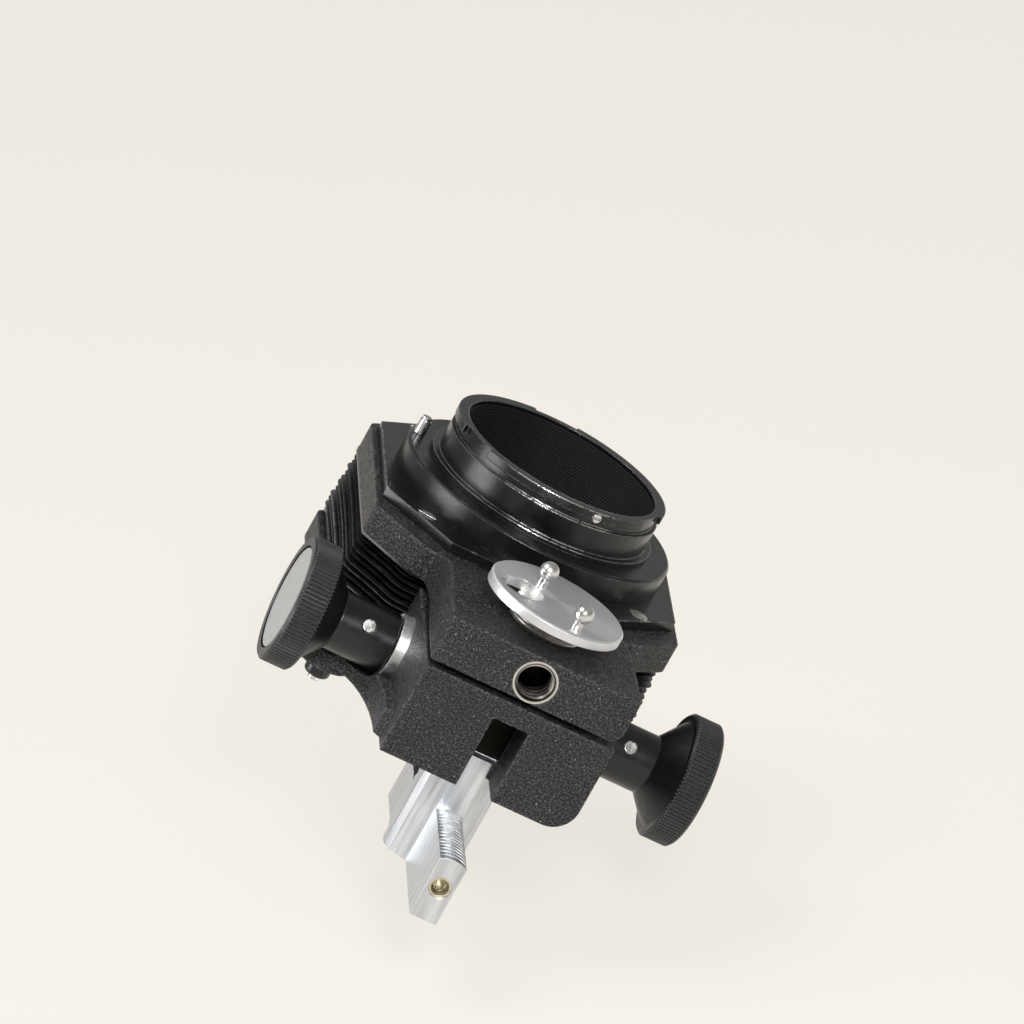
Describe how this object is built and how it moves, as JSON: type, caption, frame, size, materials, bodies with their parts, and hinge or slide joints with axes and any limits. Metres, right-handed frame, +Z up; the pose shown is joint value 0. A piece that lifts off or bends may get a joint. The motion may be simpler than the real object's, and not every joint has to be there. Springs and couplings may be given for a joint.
{
  "type": "macro bellows unit",
  "caption": "Compact macro bellows: black square standards joined by a pleated bellows on a short silver rail, with a round mount tube, ribbed drive knobs, a clamp disc and a tripod socket.",
  "frame": {"origin": "centre of the tripod socket's mouth, on the bottom face of the front standard's block", "axes": "+X across the unit towards the right-hand knob, +Y rearwards along the optical axis and the rail, +Z up from the tripod socket to the mount"},
  "size_m": [0.0736, 0.0551, 0.1008],
  "materials": {
    "crinkle_paint": "black crinkle paint",
    "satin_black_metal": "satin black",
    "bright_steel": "turned, bright",
    "aluminium_disc": "turned, satin",
    "rail_aluminium": "drawn, satin",
    "brass_screw": "plain",
    "knob_plastic": "moulded, satin",
    "bellows_cloth": "black bellows cloth, slight sheen"
  },
  "bodies": {
    "front": {"front_standard": "crinkle_paint", "tripod_bush": "bright_steel", "mount_base_plate": "satin_black_metal", "base_plate_screws": "bright_steel", "flange_ring": "satin_black_metal", "bayonet_tube": "satin_black_metal", "bayonet_stop_screw": "bright_steel", "index_pin": "bright_steel", "rail": "rail_aluminium", "rail_dowels": "bright_steel", "rail_end_screw": "brass_screw", "bellows_front_frame": "satin_black_metal", "bellows": "bellows_cloth"},
    "clamp": {"clamp_disc": "aluminium_disc", "clamp_pins": "bright_steel", "clamp_stem": "bright_steel"},
    "rear": {"rear_standard": "crinkle_paint", "rear_mount_ring": "satin_black_metal", "rear_mount_screws": "bright_steel", "left_bush": "bright_steel", "right_bush": "bright_steel", "bellows_rear_frame": "satin_black_metal"},
    "drive": {"pinion_shaft": "bright_steel", "left_hub": "satin_black_metal", "left_knob": "knob_plastic", "left_knob_insert": "aluminium_disc", "left_set_screw": "bright_steel", "right_hub": "satin_black_metal", "right_knob": "knob_plastic", "right_knob_insert": "aluminium_disc", "right_set_screw": "bright_steel"},
    "button": {"release_button": "satin_black_metal", "release_tip": "bright_steel"}
  },
  "joints": [
    {"name": "rear_slide", "type": "slide", "parent": "front", "child": "rear", "axis": [0, 1, 0], "range_m": [0, 0.0142], "deforming": ["bellows"]},
    {"name": "drive_turn", "type": "hinge", "parent": "rear", "child": "drive", "pos_m": [0, 0.0127, 0.023], "axis": [1, 0, 0], "range_deg": [-271.5, 0]},
    {"name": "clamp_turn", "type": "hinge", "parent": "front", "child": "clamp", "pos_m": [0, -0.0042, 0.0137], "axis": [0, 1, 0], "range_deg": [-270, 0]},
    {"name": "release_press", "type": "slide", "parent": "rear", "child": "button", "axis": [0, -1, 0], "range_m": [0, 0.0015], "stiffness_N_per_m": 400, "springref_m": -0.001}
  ],
  "couplings": [
    {"joint": "drive_turn", "follows": "rear_slide", "rad_per_m": -333.33}
  ]
}
